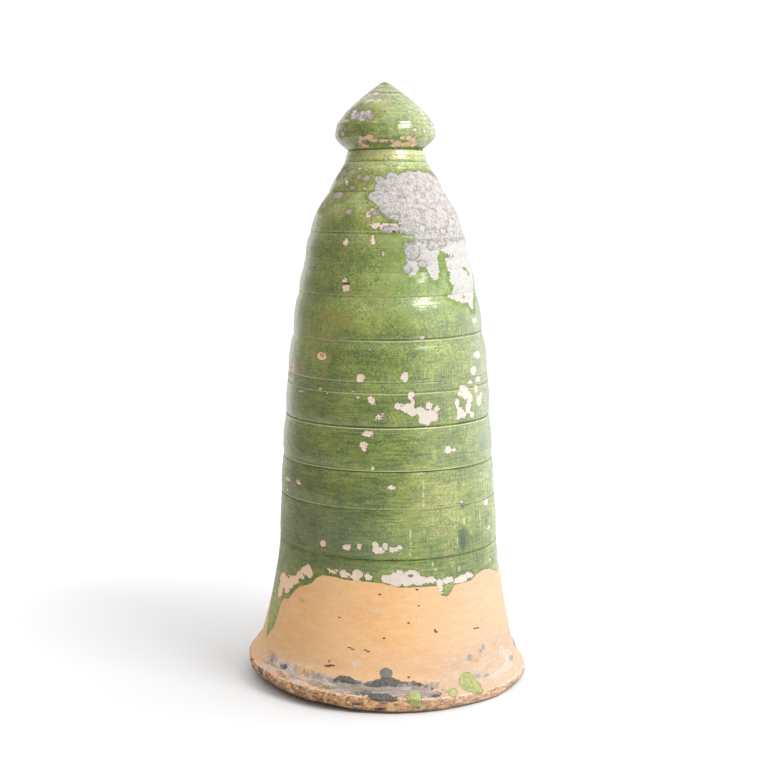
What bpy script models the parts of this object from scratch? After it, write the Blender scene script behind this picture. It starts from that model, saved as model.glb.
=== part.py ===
"""A thrown terracotta roof finial: a hollow ringed bell on a flared foot, with a neck and a pointed knob.

Metres, +Z up. The origin is on the floor, under the middle of the foot. A point of the section
is a (radius, height) pair.
"""

import math

import bpy

NAME = "roof_finial"

# Foot: a flat ring to stand on, a bulged upright edge with a crease along its top, and a slope
# that climbs from there to the flare.
FOOT_RADIUS = 0.180
FOOT_EDGE_HEIGHT = 0.019
FOOT_EDGE_BULGE = 0.003
CREASE_INSET = 0.0012
FOOT_SLOPE_HEIGHT = 0.026
FOOT_SLOPE_CURVE = 0.70
STANDING_RING_WIDTH = 0.036

# Flare: the plain stretch above the foot, which narrows fast at first and then slowly.
FLARE_RADIUS = 0.162
FLARE_HEIGHT = 0.132
FLARE_CURVE = 1.4

# Bell: one row for each thrown band, lowest first, with the height of the band, the radius
# of the groove that closes it and how far its middle swells past a straight line.
WAIST_RADIUS = 0.1390
BELL_BANDS = (
    (0.0610, 0.1367, 0.0008),
    (0.0460, 0.1330, 0.0011),
    (0.0540, 0.1282, 0.0014),
    (0.0420, 0.1265, 0.0010),
    (0.0115, 0.1252, 0.0003),
    (0.0515, 0.1183, 0.0016),
    (0.0500, 0.1104, 0.0023),
    (0.0290, 0.1048, 0.0014),
    (0.0120, 0.1022, 0.0004),
    (0.0330, 0.0955, 0.0020),
    (0.0490, 0.0726, 0.0040),
    (0.0270, 0.0575, 0.0014),
)

# Neck: two short plain bands between the bell and the knob, written like the bell's.
NECK_BANDS = (
    (0.0100, 0.0518, 0.0003),
    (0.0140, 0.0478, 0.0003),
)

# Grooves: the V pressed in on top of every band, and the height past which a band is modelled
# with two points in its middle and not one.
GROOVE_DEPTH = 0.0011
GROOVE_WIDTH = 0.0036
TALL_BAND = 0.020

# Knob, in stacked heights: an undercut side out to the widest place, a rounded turn to the
# shoulder, a swelling cone up to a fine line, a plain cone and a small nipple.
KNOB_RADIUS = 0.0630
UNDERCUT_HEIGHT = 0.0185
UNDERCUT_CURVE = 1.15
SHOULDER_RADIUS = 0.0600
SHOULDER_HEIGHT = 0.0145
LINE_RADIUS = 0.0278
LINE_STEP = 0.0008
CONE_HEIGHT = 0.0320
CONE_SWELL = 0.0026
TIP_HEIGHT = 0.0095
NIPPLE_RADIUS = 0.0145
NIPPLE_HEIGHT = 0.0085
NIPPLE_FULLNESS = 0.62

# Wall: one thickness all the way up, and the clay left above the hollow of the knob.
WALL = 0.0150
CROWN_WALL = 0.0305

# Facets: how many make the full turn, and where points closer than this become one.
TURNS = 40
MERGE_DISTANCE = 0.0001

# Finish: lead glaze down to a line a little below the waist, and bare clay below it and inside.
GLAZE_DROP = 0.024
GLAZE_COLOUR = (0.150, 0.260, 0.060, 1.0)
GLAZE_ROUGHNESS = 0.22
CLAY_COLOUR = (0.780, 0.480, 0.240, 1.0)
CLAY_ROUGHNESS = 0.85


def clear_scene():
    for thing in list(bpy.data.objects):
        bpy.data.objects.remove(thing, do_unlink=True)


def flare_start():
    return FLARE_RADIUS, FOOT_EDGE_HEIGHT + FOOT_SLOPE_HEIGHT


def waist():
    return WAIST_RADIUS, flare_start()[1] + FLARE_HEIGHT


def neck_top():
    radius = NECK_BANDS[-1][1]
    return radius, waist()[1] + sum(band[0] for band in BELL_BANDS + NECK_BANDS)


def knob_widest():
    return KNOB_RADIUS, neck_top()[1] + UNDERCUT_HEIGHT


def mix(low, high, share):
    return low + (high - low) * share


def straight(share):
    return share


def rounded_turn(share):
    return 1.0 - math.cos(math.pi / 2 * share)


def slope_curve(share):
    return share ** FOOT_SLOPE_CURVE


def flare_curve(share):
    return 1.0 - (1.0 - share) ** FLARE_CURVE


def undercut_curve(share):
    return math.sin(math.pi / 2 * share) ** UNDERCUT_CURVE


def stretch(start, end, points, bend=straight, swell=0.0):
    """Points between two ends, without the ends: bend shapes the way, and swell bows its middle out."""
    outline = []
    for step in range(1, points + 1):
        share = step / (points + 1)
        bow = swell * math.sin(math.pi * share)
        outline.append((mix(start[0], end[0], bend(share)) + bow, mix(start[1], end[1], share)))
    return outline


def groove(radius, height):
    """A shallow V pressed into the wall round the whole body."""
    half = GROOVE_WIDTH / 2
    return [(radius, height - half), (radius - GROOVE_DEPTH, height), (radius, height + half)]


def foot_outline():
    """The foot's outer side, from the floor up to where the flare starts."""
    crease = (FOOT_RADIUS - CREASE_INSET, FOOT_EDGE_HEIGHT)
    edge = [(FOOT_RADIUS - FOOT_EDGE_BULGE, 0.0), (FOOT_RADIUS, FOOT_EDGE_HEIGHT / 2), crease]
    return edge + stretch(crease, flare_start(), 2, slope_curve) + [flare_start()]


def bands_outline(bands, start):
    """Barrel-shaped bands with a groove on top of each one."""
    outline = []
    low = start
    for band_height, radius, swell in bands:
        high = (radius, low[1] + band_height)
        middle_points = 2 if band_height > TALL_BAND else 1
        outline += stretch(low, high, middle_points, straight, swell)
        outline += groove(*high)
        low = high
    return outline


def knob_outline():
    """The knob's outer side, from just above the neck up to the tip on the axis."""
    widest = knob_widest()
    shoulder = (SHOULDER_RADIUS, widest[1] + SHOULDER_HEIGHT)
    line = (LINE_RADIUS, shoulder[1] + CONE_HEIGHT)
    nipple = (NIPPLE_RADIUS, line[1] + TIP_HEIGHT)
    outline = stretch(neck_top(), widest, 4, undercut_curve) + [widest]
    outline += stretch(widest, shoulder, 1, rounded_turn) + [shoulder]
    outline += stretch(shoulder, line, 2, straight, CONE_SWELL)
    outline += [(line[0] + LINE_STEP, line[1] - GROOVE_WIDTH / 2), (line[0] - LINE_STEP, line[1]), nipple]
    outline.append((NIPPLE_RADIUS / 2, nipple[1] + NIPPLE_HEIGHT * NIPPLE_FULLNESS))
    outline.append((0.0, nipple[1] + NIPPLE_HEIGHT))
    return outline


def wall_stations():
    """The plain wall line that the hollow follows: the flare, then the top of every band."""
    stations = [flare_start()] + stretch(flare_start(), waist(), 2, flare_curve) + [waist()]
    for band_height, radius, swell in BELL_BANDS + NECK_BANDS:
        stations.append((radius + swell, stations[-1][1] + band_height))
    return stations


def bell_hollow():
    """The inside of the bell, one wall thickness in from the wall line, from the floor up."""
    mouth = FOOT_RADIUS - FOOT_EDGE_BULGE - STANDING_RING_WIDTH
    stations = wall_stations()
    inside = [(mouth, 0.0)]
    for low, high in zip(stations, stations[1:]):
        rise, narrowing = high[1] - low[1], low[0] - high[0]
        slant = math.hypot(rise, narrowing)
        radius = mix(low[0], high[0], 0.5) - WALL * rise / slant
        height = mix(low[1], high[1], 0.5) - WALL * narrowing / slant
        inside.append((min(radius, mouth), height))
    return inside


def knob_hollow():
    """The bore of the neck and the round space inside the knob, up to its top on the axis."""
    bore = (neck_top()[0] - WALL, neck_top()[1])
    widest = (KNOB_RADIUS - WALL, knob_widest()[1])
    rise = knob_outline()[-1][1] - CROWN_WALL - widest[1]
    inside = [bore] + stretch(bore, widest, 1, undercut_curve)
    turns = 5
    for step in range(turns):
        angle = math.pi / 2 * step / turns
        inside.append((widest[0] * math.cos(angle), widest[1] + rise * math.sin(angle)))
    inside.append((0.0, widest[1] + rise))
    return inside


def finial_section():
    """Half of the section, down the outside from the tip and back up the inside to the axis."""
    outside = foot_outline() + stretch(flare_start(), waist(), 4, flare_curve) + groove(*waist())
    outside += bands_outline(BELL_BANDS + NECK_BANDS, waist()) + knob_outline()
    return outside[::-1] + bell_hollow() + knob_hollow()


def principled(name, colour, roughness):
    material = bpy.data.materials.new(name)
    material.use_nodes = True
    shader = material.node_tree.nodes["Principled BSDF"]
    shader.inputs["Base Color"].default_value = colour
    shader.inputs["Roughness"].default_value = roughness
    shader.inputs["Metallic"].default_value = 0.0
    material.diffuse_color = colour
    return material


def turn_on_wheel(name, section):
    """Turns the section round the Z axis, as the clay turned on the wheel."""
    mesh = bpy.data.meshes.new(name)
    corners = [(radius, 0.0, height) for radius, height in section]
    edges = [(i, i + 1) for i in range(len(section) - 1)]
    mesh.from_pydata(corners, edges, [])
    piece = bpy.data.objects.new(name, mesh)
    screw = piece.modifiers.new("Wheel", "SCREW")
    screw.axis = "Z"
    screw.angle = math.tau
    screw.steps = TURNS
    screw.render_steps = TURNS
    screw.use_merge_vertices = True
    screw.merge_threshold = MERGE_DISTANCE
    screw.use_smooth_shade = True
    return piece


def finish_surface(piece):
    """Makes the turned shape a mesh, glazed outside above the glaze line and bare elsewhere."""
    graph = bpy.context.evaluated_depsgraph_get()
    mesh = bpy.data.meshes.new_from_object(piece.evaluated_get(graph))
    piece.modifiers.clear()
    piece.data = mesh
    mesh.materials.clear()
    mesh.materials.append(principled("green_lead_glaze", GLAZE_COLOUR, GLAZE_ROUGHNESS))
    mesh.materials.append(principled("bare_terracotta", CLAY_COLOUR, CLAY_ROUGHNESS))
    glaze_line = waist()[1] - GLAZE_DROP
    for face in mesh.polygons:
        outward = face.center.x * face.normal.x + face.center.y * face.normal.y > 0.0
        face.material_index = 0 if outward and face.center.z > glaze_line else 1


def main():
    clear_scene()
    parts = bpy.data.collections.new(NAME)
    bpy.context.scene.collection.children.link(parts)
    finial = turn_on_wheel(NAME, finial_section())
    parts.objects.link(finial)
    finish_surface(finial)


main()
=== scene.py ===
import math
import bpy
import numpy as np
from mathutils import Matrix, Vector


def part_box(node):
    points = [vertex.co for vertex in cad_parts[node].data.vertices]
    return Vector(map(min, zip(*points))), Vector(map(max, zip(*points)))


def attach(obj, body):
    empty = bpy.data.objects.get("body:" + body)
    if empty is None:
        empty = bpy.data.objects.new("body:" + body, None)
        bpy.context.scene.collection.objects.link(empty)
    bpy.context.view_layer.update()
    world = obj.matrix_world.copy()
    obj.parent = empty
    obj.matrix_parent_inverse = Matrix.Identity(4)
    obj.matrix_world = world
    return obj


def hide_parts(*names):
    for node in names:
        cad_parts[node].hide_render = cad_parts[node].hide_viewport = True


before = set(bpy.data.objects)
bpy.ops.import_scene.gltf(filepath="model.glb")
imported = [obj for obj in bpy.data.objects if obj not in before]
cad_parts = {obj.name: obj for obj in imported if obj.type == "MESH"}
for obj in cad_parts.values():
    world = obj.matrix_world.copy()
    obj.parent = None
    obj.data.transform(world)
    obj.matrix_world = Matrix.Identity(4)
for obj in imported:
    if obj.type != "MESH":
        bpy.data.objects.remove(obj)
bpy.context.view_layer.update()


# Finial, its turned form. The finial is one hollow bell of buff terracotta, thrown on a wheel with
# its foot, neck and knob. The thrower's fingers left a barrel-shaped band and a groove at every lift
# of the wall, and the whole body stands a little out of true.

MM = 0.001
low_corner, high_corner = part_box("roof_finial")
FOOT_RADIUS = (high_corner[0] - low_corner[0]) / 2 / MM
HEIGHT = high_corner[2] / MM
EDGE_HEIGHT = 19.0
EDGE_BULGE = 3.0
CREASE_INSET = 1.2
SLOPE_TOP = 45.0
SLOPE_CURVE = 0.70
FLARE_RADIUS = 162.0
FLARE_CURVE = 1.4
WAIST_RADIUS = 139.0
WAIST_HEIGHT = 177.0
STANDING_RING = 36.0
WALL = 15.0

# Each thrown band from the waist up: its height, its radius on top, how far its middle swells,
# the depth of the groove on top of it, and how far above that groove a thin lip stands up.
BANDS = (
    (61.0, 136.7, 0.8, 1.0, 1.7),
    (46.0, 133.0, 1.1, 1.0, 1.7),
    (54.0, 128.2, 1.4, 1.1, -1.8),
    (42.0, 126.5, 1.0, 0.9, -1.7),
    (11.5, 125.2, 0.3, 0.8, 1.8),
    (51.5, 118.3, 1.6, 0.8, -2.0),
    (50.0, 110.4, 2.3, 0.4, 2.0),
    (29.0, 104.8, 1.4, 0.3, 1.8),
    (12.0, 102.2, 0.4, 0.4, 2.0),
    (33.0, 95.5, 2.0, 0.6, 2.4),
    (49.0, 72.6, 4.0, 0.5, 2.6),
    (27.0, 57.5, 1.4, 0.4, 1.8),
    (10.0, 51.8, 0.3, 0.7, -1.8),
    (14.0, 47.8, 0.3, 1.2, -1.6),
)
WAIST_GROOVE = (1.3, 1.9)
GROOVE_WIDTH = 0.85
GROOVE_DEPTH_SHARE = 0.7
LIP_SHARE = 0.3

# Shallow dents just under two grooves, by height and depth, whose upper edges turn over to the light.
ROLLED_EDGES = ((487.5, 0.4), (437.5, 0.85))

# Faint finger lines inside the bands, by height, each with its depth.
FINGER_LINES = (
    (181, 0.35), (262, 0.06), (311, 0.06), (417, 0.06), (468, 0.08), (507, 0.08), (550, 0.1), (592, 0.1),
    (631, 0.1), (684, 0.7), (696.8, 0.8), (708.5, 0.3), (714, 0.25), (723, 0.3), (737.5, 0.6), (743, 0.5),
)

KNOB_RADIUS = 63.0
KNOB_WIDEST = 685.5
UNDERCUT_CURVE = 1.15
SHOULDER = (700, 60)
LINE = (732, 27.8)
CONE_SWELL = 2.6
NIPPLE = (741.5, 14.5)
NIPPLE_CURVE = 0.72
CROWN_WALL = 30.5
NECK_DROP = 18.5


def part_way(low, high, value):
    """0 below low, 1 above high, and an even rise between."""
    return np.clip((value - low) / (high - low), 0.0, 1.0)


def smooth_step(low, high, value):
    """0 below low, 1 above high, and a soft turn between."""
    share = part_way(low, high, value)
    return share * share * (3 - 2 * share)


def between(low, high, share):
    return low + (high - low) * share


def plain_radius(height, swelling=1.0):
    """Radius of the outside at each height, with no groove pressed in yet."""
    crease = FOOT_RADIUS - CREASE_INSET
    edge = (FOOT_RADIUS - EDGE_BULGE, FOOT_RADIUS, crease)
    radius = np.interp(height, (0.0, EDGE_HEIGHT / 2, EDGE_HEIGHT), edge)
    share = part_way(EDGE_HEIGHT, SLOPE_TOP, height)
    radius = np.where(height > EDGE_HEIGHT, between(crease, FLARE_RADIUS, share ** SLOPE_CURVE), radius)
    share = part_way(SLOPE_TOP, WAIST_HEIGHT, height)
    flare = between(FLARE_RADIUS, WAIST_RADIUS, 1.0 - (1.0 - share) ** FLARE_CURVE)
    radius = np.where(height > SLOPE_TOP, flare, radius)
    start, start_radius = WAIST_HEIGHT, WAIST_RADIUS
    for tall, top_radius, swell, depth, lip in BANDS:
        share = np.clip((height - start) / tall, 0.0, 1.0)
        band = between(start_radius, top_radius, share) + swelling * swell * np.sin(math.pi * share)
        radius = np.where(height > start, band, radius)
        start, start_radius = start + tall, top_radius
    share = part_way(start, KNOB_WIDEST, height)
    undercut = between(start_radius, KNOB_RADIUS, np.sin(math.pi / 2 * share) ** UNDERCUT_CURVE)
    radius = np.where(height > start, undercut, radius)
    share = part_way(KNOB_WIDEST, SHOULDER[0], height)
    turn_over = between(KNOB_RADIUS, SHOULDER[1], 1.0 - np.cos(math.pi / 2 * share))
    radius = np.where(height > KNOB_WIDEST, turn_over, radius)
    share = part_way(SHOULDER[0], LINE[0], height)
    cone = between(SHOULDER[1], LINE[1], share) + CONE_SWELL * np.sin(math.pi * share)
    radius = np.where(height > SHOULDER[0], cone, radius)
    share = part_way(LINE[0], NIPPLE[0], height)
    radius = np.where(height > LINE[0], between(LINE[1], NIPPLE[1], share), radius)
    share = part_way(NIPPLE[0], HEIGHT, height)
    return np.where(height > NIPPLE[0], NIPPLE[1] * (1.0 - share) ** NIPPLE_CURVE, radius)


def groove_list():
    """Height, depth and lip offset of every groove, from the waist up."""
    height = WAIST_HEIGHT
    grooves = [(height,) + WAIST_GROOVE]
    for tall, top_radius, swell, depth, lip in BANDS:
        height += tall
        grooves.append((height, depth, lip))
    grooves.append((LINE[0], 0.3, 1.5))
    return grooves


GROOVES = groove_list()
OUTSIDE_ROWS = 341
UNDER_ROWS = 5
INSIDE_ROWS = 34
COLUMNS = 252
FRONT_GAIN = 2.6
GROOVE_GAIN = 3.6


def even_places(places, weights, count):
    """Picks count places, closer together where the weight is higher."""
    steps = np.hypot(np.diff(places[0]), np.diff(places[1])) * (weights[1:] + weights[:-1]) / 2
    travelled = np.concatenate(([0.0], np.cumsum(steps)))
    return np.interp(np.linspace(0.0, travelled[-1], count), travelled, places[0])


def outside_heights():
    """Row heights up the outside: even along the outline, with close rows in the grooves and the rim."""
    heights = np.linspace(0.0, HEIGHT - 0.05, 15001)
    weights = 1.0 + 0.9 * smooth_step(48, 30, heights) + 0.8 * smooth_step(664, 672, heights)
    for height, depth, lip in GROOVES:
        weights += GROOVE_GAIN * np.exp(-((heights - height - lip / 2) / 2.6) ** 2)
    return even_places((heights, plain_radius(heights)), weights, OUTSIDE_ROWS)


def column_turns():
    """Turns of the columns in degrees, 0 at the front: close together on the side that was studied."""
    turns = np.linspace(-180, 180, 7201)
    weights = 1.0 + FRONT_GAIN * smooth_step(112, 84, np.abs(turns))
    return even_places((turns, 0.0 * turns), weights, COLUMNS + 1)[:-1]


def inside_outline():
    """Height and radius up the inside, one wall in from the outside, and round the knob's hollow."""
    heights = np.linspace(SLOPE_TOP, KNOB_WIDEST - NECK_DROP, 900)
    radii = plain_radius(heights, swelling=0.5)
    rise, run = np.gradient(heights), np.gradient(radii)
    slant = np.hypot(rise, run)
    in_heights = heights + WALL * run / slant
    in_radii = np.minimum(radii - WALL * rise / slant, FOOT_RADIUS - EDGE_BULGE - STANDING_RING)
    low = np.argmax(in_heights > 4)
    keep = np.concatenate(([low], np.arange(low + 1, 900)))
    hollow = KNOB_RADIUS - WALL
    neck = in_radii[-1]
    steps = np.linspace(0.0, 1.0, 60)[1:]
    in_heights = np.concatenate((in_heights[keep], between(in_heights[-1], KNOB_WIDEST, steps)))
    widening = between(neck, hollow, np.sin(math.pi / 2 * steps) ** UNDERCUT_CURVE)
    in_radii = np.concatenate((in_radii[keep], widening))
    crown = HEIGHT - CROWN_WALL
    angles = math.pi / 2 * np.linspace(0.0, 0.985, 60)[1:]
    in_heights = np.concatenate((in_heights, between(KNOB_WIDEST, crown, np.sin(angles))))
    in_radii = np.concatenate((in_radii, hollow * np.cos(angles)))
    along = np.concatenate(([0.0], np.cumsum(np.hypot(np.diff(in_heights), np.diff(in_radii)))))
    stops = np.linspace(0.0, along[-1], INSIDE_ROWS)
    return np.interp(stops, along, in_heights), np.interp(stops, along, in_radii)


def ripple(turn, height, size, seed, waves=26):
    """Seeded smooth unevenness, about -1 to 1, in lumps of the given size in millimetres."""
    chance = np.random.default_rng(seed)
    most = max(2, int(2 * math.pi * 130 / size / 2))
    total = 0.0
    for wave in range(waves):
        around = chance.integers(0, most + 1)
        upward = chance.uniform(-1.0, 1.0) * math.tau / size
        total = total + np.sin(np.radians(turn) * around + upward * height + chance.uniform(0.0, math.tau))
    return total / math.sqrt(waves / 2)


def wander(turn, height):
    """How far a thrown ring rises and falls round the body, because the wall was pulled up by hand."""
    once_round = 0.9 * np.sin(np.radians(turn) + height / 95)
    twice_round = 0.35 * np.sin(np.radians(2 * turn) - height / 60)
    sway = once_round + twice_round
    return sway * smooth_step(60, 150, height) * smooth_step(750, 700, height)


def wrapped(angle):
    return (angle + 180) % 360 - 180


def folded(angle):
    """The turn of the point beside or in front that lies as far to the side, so the back has no step."""
    return np.degrees(np.arcsin(np.sin(np.radians(angle))))


turns = column_turns()[None, :]
rows = outside_heights()[:, None]

# The rim's crease stands higher on the left, and its worn lower lip is lifted there, in millimetres.
CREASE_HEIGHT = 19.5
CREASE_TILT = 8.5
LIP_LIFT = 12.0
LIP_TURN = -70.0
BLEND_TOP = 64.0
low_lip = LIP_LIFT * np.exp(-(wrapped(turns - LIP_TURN) / 60) ** 2)
crease_height = CREASE_HEIGHT - CREASE_TILT * np.sin(np.radians(turns))


def warp_foot(height):
    """Moves the rim's rows with its crease, which is higher on one side, and lifts its worn lower lip."""
    edge = between(low_lip, crease_height, height / EDGE_HEIGHT)
    above = between(crease_height, BLEND_TOP, (height - EDGE_HEIGHT) / (BLEND_TOP - EDGE_HEIGHT))
    return np.where(height < EDGE_HEIGHT, edge, np.where(height < BLEND_TOP, above, height + 0.0 * turns))


heights = warp_foot(rows) + wander(turns, rows)
arc = np.radians(1.0) * plain_radius(heights)

# How far the body stands to the right of true at these heights, or to the left where it is below 0.
LEAN_HEIGHTS = (0, 45, 120, 230, 330, 560, 655, 690, 750)
LEANS = (0, 0, 1.4, 1.5, 0.3, 0.0, -1.2, -1.9, -1.9)
lean = np.interp(rows, LEAN_HEIGHTS, LEANS)
sideways = lean + plain_radius(rows) * np.sin(np.radians(turns))
faced = np.degrees(np.arctan2(sideways, plain_radius(rows) * np.cos(np.radians(turns))))


# Finial, its wear. The bell was dipped in pale slip and glazed green down to a wavy line above the
# foot, on which it dripped. Weather has since thrown off glaze in chips and in one large patch, where
# lichen grows.

# Every mark is (turn, height, half width, half height), with turn and half width in degrees round the
# body and the others in millimetres. Turn 0 faces the camera.
CHIPS_HIGH = (
    (-30, 556.5, 2.6, 5.2), (-10, 558, 2.2, 3.8), (-10.2, 563, 0.9, 3.5), (-3, 543, 1.5, 2.8),
    (-3.2, 546, 0.8, 2.5), (-9.5, 576.5, 3.4, 4.2), (-11.5, 578, 1.6, 2.6), (-1, 574, 5.2, 6),
    (5, 574, 5, 6), (-6, 578, 3, 2.6), (2, 569.5, 4, 3), (-14.5, 589.5, 3.6, 3.6), (-9, 590.5, 4.4, 2.8),
    (-11.5, 595.5, 2.6, 1.6), (-22, 620, 1.9, 1.9), (-50, 632, 4.2, 1.6), (-47, 628, 2.6, 3.2),
    (-45, 625, 2, 1.8), (-63, 629, 5, 1.6), (-35, 644, 3.3, 2), (-28, 511, 2.2, 3), (-27, 501.5, 3, 4.2),
    (-26.5, 507, 2.6, 2.4), (-75, 539, 3, 3),
)
CHIPS_MIDDLE = (
    (20.5, 444, 2.2, 2.6), (-10.5, 431, 1.2, 2), (-40.5, 420, 3.6, 5.2), (-15, 396.5, 2.8, 5.4),
    (9.5, 398, 2.4, 6), (-8.7, 371.5, 2, 4.6), (-7.5, 368, 1.8, 3), (13, 377.5, 2.1, 4.2),
    (12.5, 373, 1.5, 3), (-4.6, 350, 2.4, 3.4), (-2.6, 353, 1.4, 2.4), (-57, 374, 2.2, 2.2),
    (-72, 403, 3, 5), (-72, 394, 3, 4), (-15.3, 374, 1.1, 2.2), (-19.3, 380.5, 1, 1.6), (-40, 380, 1, 1.6),
    (6, 363.5, 2.8, 4), (11, 361, 3.4, 6.5), (13.5, 355.5, 3, 4.6), (13.8, 366, 1.6, 4),
    (17.5, 358, 2.6, 5.5), (23, 363, 2.2, 4.6), (27.5, 358.5, 2.2, 4), (23.5, 350, 5.4, 7),
    (22, 343.5, 2.8, 4.2), (20, 353, 3, 7), (18.5, 345, 1.8, 5), (26, 347, 3, 4), (48, 374, 3.6, 8),
    (46, 380, 3, 4.4), (44, 374, 2.4, 4), (53, 385, 3, 2.6), (52, 367, 2.8, 8), (50, 356, 2.8, 8),
    (41, 363, 2, 6), (43.5, 351, 3.4, 7), (46.5, 347, 2.6, 4), (54, 345.5, 2.8, 4.4), (42, 345, 2, 3),
    (58.5, 376, 2, 5.6), (61.5, 361, 3.4, 7), (64, 367, 1.8, 6), (62, 387, 4.4, 3.6), (57.5, 399, 3.6, 6),
    (63, 417, 5, 5), (66, 459, 4.4, 4.4),
)
CHIPS_LOW = (
    (-10.5, 330.5, 3.3, 4.2), (-12.3, 316.5, 2.4, 4.6), (-12, 312.5, 1.4, 3), (-7.5, 290, 1.2, 3),
    (2, 266.5, 2.2, 3.4), (33.5, 308, 2.4, 5.4), (37.5, 307, 2, 2.8), (-54, 261.5, 2.6, 3),
    (-67, 260, 4, 3), (-68, 246, 2, 3), (63, 233, 3.6, 4.2), (65, 200, 3, 3), (-34.5, 193, 2.2, 4.4),
    (-20.5, 191.5, 2.9, 3.6), (-20, 194.5, 1.8, 3.2), (-14, 194.5, 1.6, 3.8), (-6, 197, 1.9, 5),
    (-4.5, 190.5, 3.4, 4.4), (-1, 195.5, 1.8, 4.6), (3, 191.5, 3.2, 3.6), (6.5, 194, 1.9, 3.8),
)

# Pale slip bared along the edge of the glaze, with green left standing in it.
SLIP_EDGE = (
    (-66, 132, 5.2, 10), (-67.5, 119, 3.2, 11), (-59, 134, 5.4, 8), (-54, 139, 4.4, 6), (-60, 124, 3, 6),
    (-45, 154, 4.2, 7.5), (-48, 149, 3, 6), (-42.5, 152, 2.4, 6), (-44, 160, 2.4, 3.6), (-51, 146, 2, 5),
    (-30.5, 161.5, 3.4, 2.4), (-26.5, 160.5, 3.2, 3.4), (-22, 159, 3.6, 5), (-15, 160.5, 3.4, 5.6),
    (-15, 156, 5, 4.2), (-9.5, 157.5, 2.6, 4.6), (0, 156, 3.2, 6), (4.5, 155, 4.5, 8.5), (6, 163, 2.2, 4.8),
    (10, 155, 5, 8.5), (12, 163.5, 3, 3.6), (15.5, 160, 1.8, 3), (16, 153, 3.4, 6.5), (19.5, 152.5, 2, 4.2),
    (22, 152.5, 2.8, 4.6), (26.5, 147, 2.2, 6), (27, 138, 1.4, 5.5), (30, 149, 2.8, 4.4), (33, 149, 2, 4),
    (36.5, 147, 1.8, 4), (40, 147.5, 3.6, 5.4), (44, 150.5, 3, 4.4), (47, 148, 2.4, 2.2), (66, 158, 2, 3),
    (82, 150, 3, 4), (104, 152, 4, 4), (111, 149, 3, 5), (147, 158, 4, 4), (163, 155, 5, 5),
    (171, 158, 3, 3), (-150, 148, 4, 4), (-123, 158, 4, 5), (-118, 155, 4, 4),
)
GREEN_ISLANDS = (
    (46.3, 358.5, 1.4, 4.6), (66.5, 522, 3.2, 3), (70, 516.5, 2, 4), (57.5, 489.5, 2, 1.8),
    (-26, 157, 1.6, 2.4), (-12.3, 155, 1.2, 2), (30.5, 137, 2.6, 4.4), (-46, 148, 1.2, 1.6),
    (11.5, 159.5, 1.2, 1.6), (25.5, 366, 0.9, 1.8),
)

# Height of the glaze's lower edge round the body, by turn. It runs well down at one side.
GLAZE_EDGE = (
    (-180, 146), (-150, 139), (-122, 150), (-100, 141), (-88, 121), (-80, 86), (-75, 62), (-71.5, 55),
    (-68, 68), (-65.5, 74), (-63.5, 104), (-61, 113), (-57, 113.5), (-54.5, 121), (-52, 128), (-49, 134),
    (-45, 137), (-41, 141), (-38, 149), (-34, 154.5), (-27, 154.5), (-20, 152.5), (-7, 152), (-2, 150.5),
    (6, 145.5), (16, 145), (25, 144.5), (27, 132), (30.5, 130), (33, 136), (35, 142.5), (46, 143),
    (50, 148), (56, 150.5), (63, 149), (70, 142), (76, 137), (95, 149), (112, 142), (132, 152), (150, 147),
    (180, 146),
)

# Outline of the large patch where the glaze is gone, clockwise from its upper left corner.
PATCH_OUTLINE = (
    (-14, 632), (-11, 634.5), (-5, 634), (-1, 631), (0, 637), (4, 640), (9, 639.5), (12.5, 635), (15, 638),
    (24, 641), (42, 642), (60, 640), (78, 634), (98, 618), (99, 585), (89, 545), (81, 505), (74.5, 487),
    (68.5, 484), (66.5, 473), (62, 473), (60, 483), (54, 482), (49, 485), (41, 491), (46, 495), (47, 503),
    (44, 512), (46.5, 520), (43, 527), (44.5, 537), (56, 539), (45, 542), (38, 547), (37, 540), (36.3, 522),
    (34, 510.5), (30.5, 512), (29, 517), (27, 526), (22, 528), (19.5, 518.5), (14, 516), (15, 522),
    (11, 527), (13.5, 534), (11.5, 545), (12, 555), (20, 560), (20, 566), (9, 567.5), (9, 581), (4, 583),
    (0, 587), (-4, 592), (-7, 599), (-13, 606), (-18.5, 610), (-17, 613), (-12, 617), (-11, 624),
)
LICHEN_SPOTS = (
    (-32, 592.5, 3.2, 3.8), (-22.5, 632.5, 5, 3.8), (-32, 634, 3.6, 3.2), (-36, 621, 4.8, 2.2),
    (-53, 612, 9, 5), (-68, 599, 6, 4), (5, 636, 5.6, 4.4), (-12, 573, 1.2, 1.6), (17, 546, 5.4, 10),
    (13, 526, 3, 6), (24, 531, 3.4, 4.4), (34, 552, 5.6, 5), (42, 556, 4, 4), (2, 571.5, 6, 4.4),
    (-10, 590, 4, 2.4), (-45, 708, 7, 5), (-36, 709, 6, 5), (-26, 711, 6, 4), (-52, 713, 6, 4),
    (-20, 707, 5, 3), (-31, 704, 6, 3.4), (-64, 640, 6, 5), (150, 604, 16, 22), (171, 590, 12, 15),
    (-155, 622, 14, 10), (128, 575, 7, 9), (-120, 588, 5, 6), (140, 712, 12, 7), (172, 706, 14, 6),
    (-110, 690, 8, 6),
)
WHITE_SPOTS = (
    (6, 587, 4, 3.4), (0, 578, 7, 1.8), (27, 573, 3, 5), (46, 569, 4, 4), (-20, 704.4, 6, 1.6),
    (-20, 708.5, 2.4, 2.4), (-30, 706.5, 3, 2.2), (-41, 708, 3.4, 2), (60, 580, 6, 5),
)

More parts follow.
